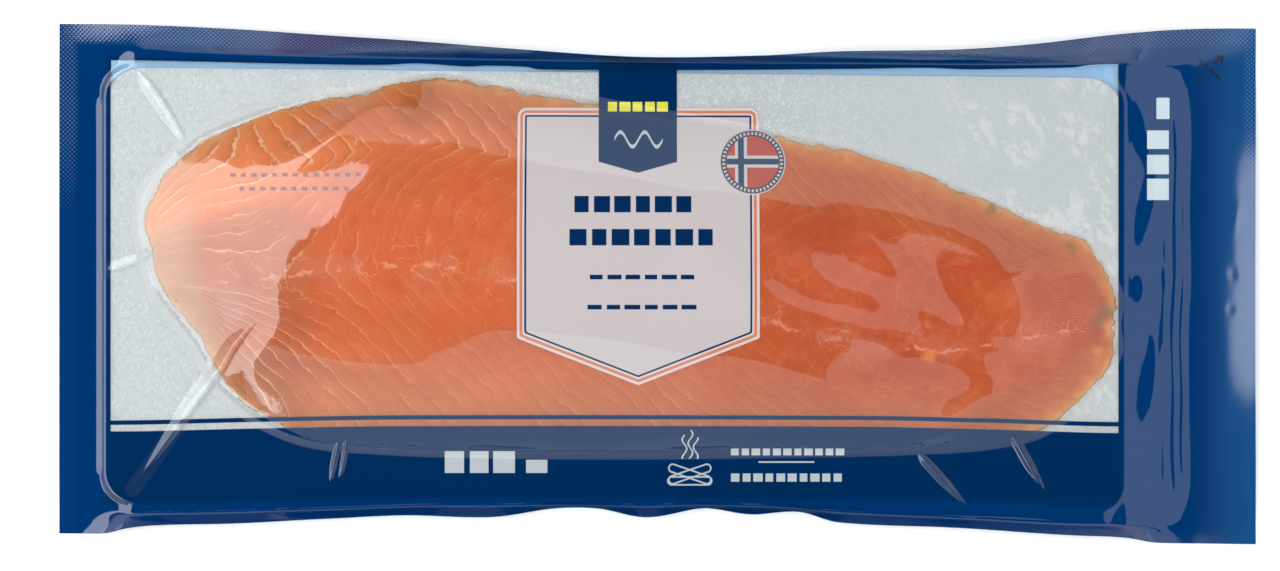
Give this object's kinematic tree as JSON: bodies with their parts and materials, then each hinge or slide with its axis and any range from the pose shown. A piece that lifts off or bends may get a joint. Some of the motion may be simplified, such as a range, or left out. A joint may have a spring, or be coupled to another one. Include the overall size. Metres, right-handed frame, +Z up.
{
  "type": "vacuum-packed smoked salmon side",
  "caption": "Sliced side of smoked salmon on a silver board, vacuum packed between two printed films with a sealed border that curls up.",
  "frame": {"origin": "centre of the pack's outline, on the surface that it lies on", "axes": "+X along the pack towards its wide border, +Y across it towards the border with the tab, +Z up"},
  "size_m": [0.47, 0.2044, 0.0219],
  "materials": {
    "lower_film": "smooth laminated film, light blue over the tray side and navy at the border",
    "board": "silver laminated board with a fine fibrous sheen",
    "salmon": "moist orange flesh with thin pale lines of fat",
    "upper_film": "clear glossy film drawn tight, with a navy printed border and a pale printed label"
  },
  "bodies": {
    "root": {"lower_film": "lower_film", "board": "board", "salmon_side": "salmon", "upper_film": "upper_film"}
  },
  "joints": []
}
